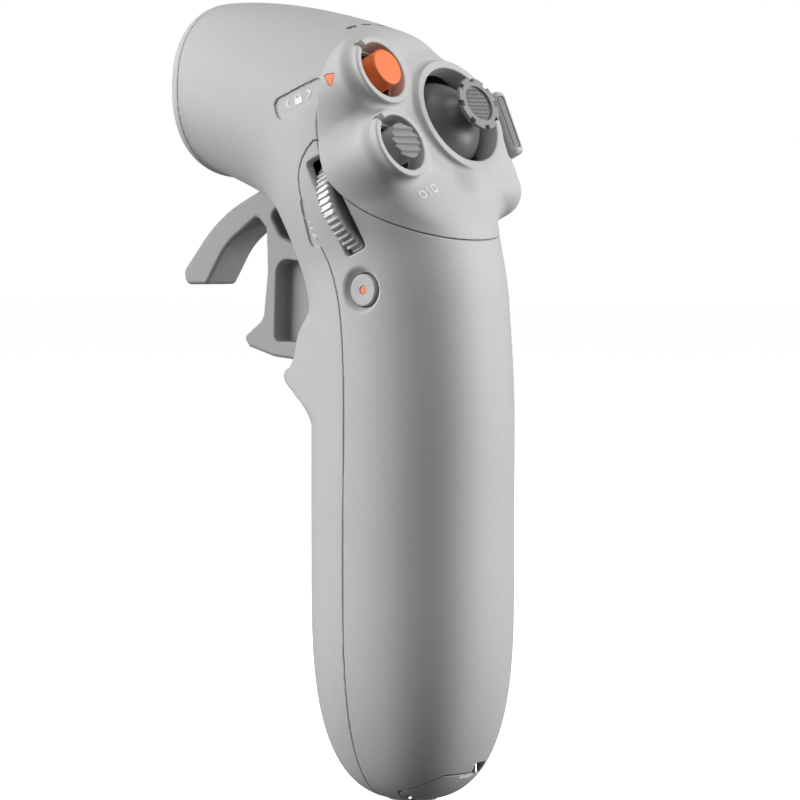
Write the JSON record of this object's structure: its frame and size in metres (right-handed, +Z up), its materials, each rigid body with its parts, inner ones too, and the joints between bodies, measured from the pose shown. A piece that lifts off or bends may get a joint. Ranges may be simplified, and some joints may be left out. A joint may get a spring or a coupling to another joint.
{
  "type": "radio transmitter controller",
  "caption": "One-handed motion controller: upright oval grip bending into a short barrel, two-way trigger, joystick, orange lock button, mode button, side dial and record key.",
  "frame": {"origin": "on the grip's axis at its foot", "axes": "+Z up the grip, +Y forward along the barrel, +X to the holder's right"},
  "size_m": [0.0472, 0.08, 0.1643],
  "materials": {
    "light_shell": "fine matte grain",
    "grey_plastic": "satin",
    "dark_plastic": "satin",
    "orange_plastic": "satin",
    "stick_grey": "satin",
    "bright_ribs": "satin",
    "steel": "brushed",
    "board": "lacquered",
    "cell_wrap": "film",
    "clear_window": "clear"
  },
  "bodies": {
    "housing": {"front_shell": "light_shell", "rear_shell": "light_shell", "thumb_panel": "light_shell", "front_cap": "light_shell", "lock_well": "dark_plastic", "mode_well": "dark_plastic", "joystick_base": "dark_plastic", "battery_tray": "dark_plastic", "inner_frame": "dark_plastic", "dial_bracket": "dark_plastic", "trigger_bracket": "dark_plastic", "dial_encoder": "dark_plastic", "usb_tongue": "dark_plastic", "buzzer": "dark_plastic", "port_plate": "dark_plastic", "lock_switch": "dark_plastic", "mode_switch": "dark_plastic", "record_switch": "dark_plastic", "power_switch": "dark_plastic", "hall_sensor": "dark_plastic", "motion_sensor": "dark_plastic", "pointer_mark": "orange_plastic", "dial_axle": "steel", "trigger_pin": "steel", "trigger_spring": "steel", "battery_contacts": "steel", "frame_screws": "steel", "shield_can": "steel", "usb_socket": "steel", "cover_pin": "steel", "lanyard_bar": "steel", "light_board": "board", "thumb_board": "board", "side_board": "board", "power_board": "board", "main_board": "board", "aerial_board": "board", "usb_board": "board", "battery_cell": "cell_wrap", "status_lights": "clear_window", "status_lamps": "clear_window"},
    "trigger": {"trigger": "grey_plastic", "trigger_magnet": "steel"},
    "lock_button": {"lock_button": "orange_plastic"},
    "mode_button": {"mode_button": "grey_plastic"},
    "gimbal_yoke": {"joystick_yoke": "dark_plastic"},
    "joystick": {"joystick_dome": "stick_grey", "joystick_cap": "stick_grey"},
    "side_dial": {"dial_hub": "grey_plastic", "dial_rim": "bright_ribs"},
    "record_button": {"record_button": "light_shell", "record_dot": "orange_plastic"},
    "power_button": {"power_button": "light_shell", "power_face": "dark_plastic"},
    "usb_cover": {"usb_cover": "light_shell"}
  },
  "joints": [
    {"name": "trigger_swing", "type": "hinge", "parent": "housing", "child": "trigger", "pos_m": [0, 0.032, 0.132], "axis": [-1, 0, 0], "range_deg": [-8, 12], "stiffness_Nm_per_rad": 0.12},
    {"name": "lock_press", "type": "slide", "parent": "housing", "child": "lock_button", "axis": [0, 0.9135, -0.4067], "range_m": [0, 0.0008], "stiffness_N_per_m": 600},
    {"name": "mode_press", "type": "slide", "parent": "housing", "child": "mode_button", "axis": [0, 0.9135, -0.4067], "range_m": [0, 0.0008], "stiffness_N_per_m": 600},
    {"name": "stick_fore_aft", "type": "hinge", "parent": "housing", "child": "gimbal_yoke", "pos_m": [0.008, 0.00202, 0.13654], "axis": [1, 0, 0], "range_deg": [-14, 14], "stiffness_Nm_per_rad": 0.02},
    {"name": "stick_side", "type": "hinge", "parent": "gimbal_yoke", "child": "joystick", "pos_m": [0.008, 0.00202, 0.13654], "axis": [0, 0.4067, 0.9135], "range_deg": [-14, 14], "stiffness_Nm_per_rad": 0.02},
    {"name": "dial_turn", "type": "hinge", "parent": "housing", "child": "side_dial", "pos_m": [-0.0114, 0.0039, 0.1213], "axis": [0, -0.9135, 0.4067], "continuous": true},
    {"name": "record_press", "type": "slide", "parent": "housing", "child": "record_button", "axis": [1, 0, 0], "range_m": [0, 0.0008], "stiffness_N_per_m": 500},
    {"name": "power_press", "type": "slide", "parent": "housing", "child": "power_button", "axis": [-1, 0, 0], "range_m": [0, 0.0008], "stiffness_N_per_m": 500},
    {"name": "cover_swing", "type": "hinge", "parent": "housing", "child": "usb_cover", "pos_m": [0, -0.0044, 0.00135], "axis": [1, 0, 0], "range_deg": [0, 90]}
  ]
}
